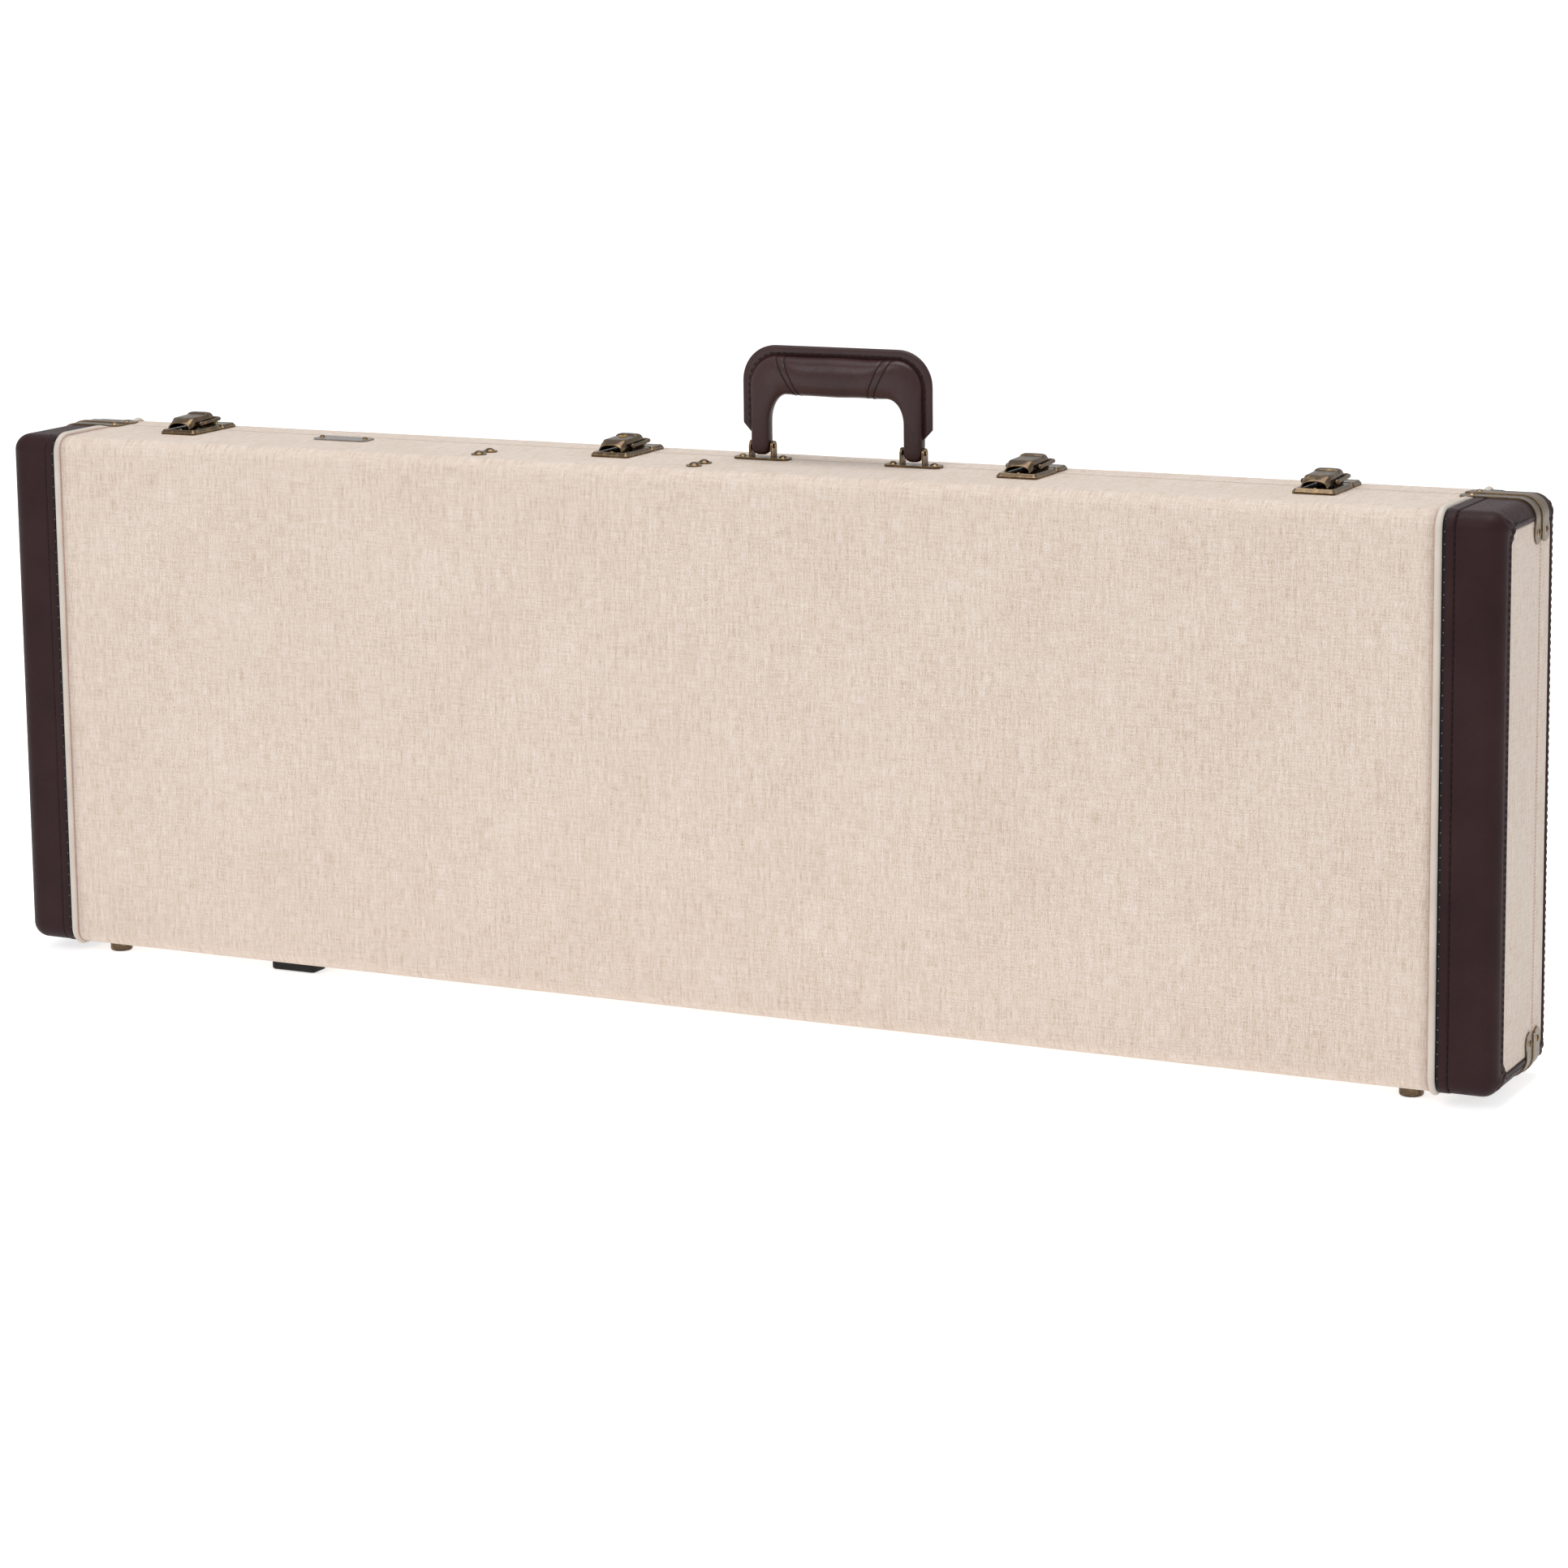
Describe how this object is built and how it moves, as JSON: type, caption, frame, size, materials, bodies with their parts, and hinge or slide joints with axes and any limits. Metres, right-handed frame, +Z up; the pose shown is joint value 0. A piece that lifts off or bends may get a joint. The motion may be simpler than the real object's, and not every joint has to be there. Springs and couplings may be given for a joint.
{
  "type": "guitar case",
  "caption": "Rectangular hard-shell electric guitar case, linen body with leatherette ends, brass draw latches, hinged lid and padded carry handle.",
  "frame": {"origin": "middle of the closed case in plan, on the floor plane that its four feet stand on", "axes": "+X along the case towards the end that holds the guitar body, -Y out of the large face of the deep half, +Y out of the lid, +Z up towards the handle"},
  "size_m": [1.0446, 0.1104, 0.429],
  "materials": {
    "linen": "woven natural linen cloth glued over the ply",
    "leatherette": "dark oxblood brown grained leatherette",
    "piping": "off-white extruded piping",
    "plywood": "bare birch plywood",
    "plush": "brown long-pile plush over foam",
    "antique_brass": "antiqued brass plate, bright on worn edges",
    "bright_brass": "polished brass",
    "nickel_plate": "brushed nickel plate",
    "steel": "plain steel",
    "handle_leather": "dark brown smooth leather",
    "black_rubber": "matt black rubber"
  },
  "bodies": {
    "case_body": {"body_edge_guard_rivets": "antique_brass", "body_edge_guards": "antique_brass", "body_end_cover_left": "leatherette", "body_end_cover_right": "leatherette", "body_end_panels": "linen", "body_feet": "antique_brass", "body_linen": "linen", "body_lining": "plush", "body_piping": "piping", "body_tray": "plywood", "bout_pads": "plush", "compartment_studs": "antique_brass", "compartment_walls": "plush", "handle_bracket_left": "antique_brass", "handle_bracket_right": "antique_brass", "handle_pins": "antique_brass", "handle_rivets": "antique_brass", "hinge_leaves_body": "antique_brass", "hinge_pins": "steel", "hinge_rivets_body": "antique_brass", "latch_base_rivets": "antique_brass", "latch_bases": "antique_brass", "latch_pivot_pins": "steel", "nameplate": "nickel_plate", "nameplate_rivets": "antique_brass", "neck_block": "plush", "neck_cradle": "plush", "rest_pad": "black_rubber", "rest_pad_plate": "antique_brass", "rim_lip": "plywood", "waist_pad_bottom": "plush", "waist_pad_top": "plush"},
    "lid": {"lid_edge_guard_rivets": "antique_brass", "lid_edge_guards": "antique_brass", "lid_end_cover_left": "leatherette", "lid_end_cover_right": "leatherette", "lid_end_panels": "linen", "lid_feet": "antique_brass", "lid_linen": "linen", "lid_lining": "plush", "lid_piping": "piping", "lid_tray": "plywood", "hinge_leaves_lid": "antique_brass", "hinge_rivets_lid": "antique_brass", "latch_catches": "antique_brass", "latch_catch_rivets": "antique_brass"},
    "handle": {"handle_core": "steel", "handle_grip": "handle_leather"},
    "compartment_lid": {"compartment_lid": "plush", "compartment_pull_tab": "leatherette"},
    "latch_lever_1": {"latch_lever_1": "antique_brass"},
    "latch_bail_1": {"latch_bail_1": "antique_brass"},
    "latch_lever_2": {"latch_lever_2": "antique_brass"},
    "latch_bail_2": {"latch_bail_2": "antique_brass"},
    "latch_lever_3": {"latch_lever_3": "antique_brass"},
    "latch_bail_3": {"latch_bail_3": "antique_brass"},
    "latch_lever_4": {"latch_lever_4": "antique_brass"},
    "latch_bail_4": {"latch_bail_4": "antique_brass"},
    "lock_plug": {"lock_plug": "bright_brass"}
  },
  "joints": [
    {"name": "lid_hinge", "type": "hinge", "parent": "case_body", "child": "lid", "pos_m": [0, 0.021, 0.0048], "axis": [-1, 0, 0], "range_deg": [0, 100]},
    {"name": "handle_pivot", "type": "hinge", "parent": "case_body", "child": "handle", "pos_m": [0.066, 0.0145, 0.3646], "axis": [1, 0, 0], "range_deg": [-84, 84]},
    {"name": "compartment_hinge", "type": "hinge", "parent": "case_body", "child": "compartment_lid", "pos_m": [-0.09025, 0.0075, 0.3418], "axis": [1, 0, 0], "range_deg": [0, 80]},
    {"name": "latch_lever_1_pivot", "type": "hinge", "parent": "case_body", "child": "latch_lever_1", "pos_m": [-0.41, 0.015, 0.3622], "axis": [-1, 0, 0], "range_deg": [0, 80]},
    {"name": "latch_bail_1_pivot", "type": "hinge", "parent": "latch_lever_1", "child": "latch_bail_1", "pos_m": [-0.41, -0.0015, 0.3622], "axis": [-1, 0, 0], "range_deg": [-80, 0]},
    {"name": "latch_lever_2_pivot", "type": "hinge", "parent": "case_body", "child": "latch_lever_2", "pos_m": [-0.082, 0.015, 0.3622], "axis": [-1, 0, 0], "range_deg": [0, 80]},
    {"name": "latch_bail_2_pivot", "type": "hinge", "parent": "latch_lever_2", "child": "latch_bail_2", "pos_m": [-0.082, -0.0015, 0.3622], "axis": [-1, 0, 0], "range_deg": [-80, 0]},
    {"name": "latch_lever_3_pivot", "type": "hinge", "parent": "case_body", "child": "latch_lever_3", "pos_m": [0.2, 0.015, 0.3622], "axis": [-1, 0, 0], "range_deg": [0, 80]},
    {"name": "latch_bail_3_pivot", "type": "hinge", "parent": "latch_lever_3", "child": "latch_bail_3", "pos_m": [0.2, -0.0015, 0.3622], "axis": [-1, 0, 0], "range_deg": [-80, 0]},
    {"name": "latch_lever_4_pivot", "type": "hinge", "parent": "case_body", "child": "latch_lever_4", "pos_m": [0.391, 0.015, 0.3622], "axis": [-1, 0, 0], "range_deg": [0, 80]},
    {"name": "latch_bail_4_pivot", "type": "hinge", "parent": "latch_lever_4", "child": "latch_bail_4", "pos_m": [0.391, -0.0015, 0.3622], "axis": [-1, 0, 0], "range_deg": [-80, 0]},
    {"name": "lock_turn", "type": "hinge", "parent": "latch_lever_2", "child": "lock_plug", "pos_m": [-0.082, 0.005, 0.367], "axis": [0, 0, 1], "range_deg": [0, 90]}
  ],
  "couplings": [
    {"joint": "compartment_hinge", "follows": "lid_hinge", "ratio": 0.8},
    {"joint": "latch_bail_1_pivot", "follows": "latch_lever_1_pivot", "ratio": -1},
    {"joint": "latch_bail_2_pivot", "follows": "latch_lever_2_pivot", "ratio": -1},
    {"joint": "latch_bail_3_pivot", "follows": "latch_lever_3_pivot", "ratio": -1},
    {"joint": "latch_bail_4_pivot", "follows": "latch_lever_4_pivot", "ratio": -1}
  ]
}
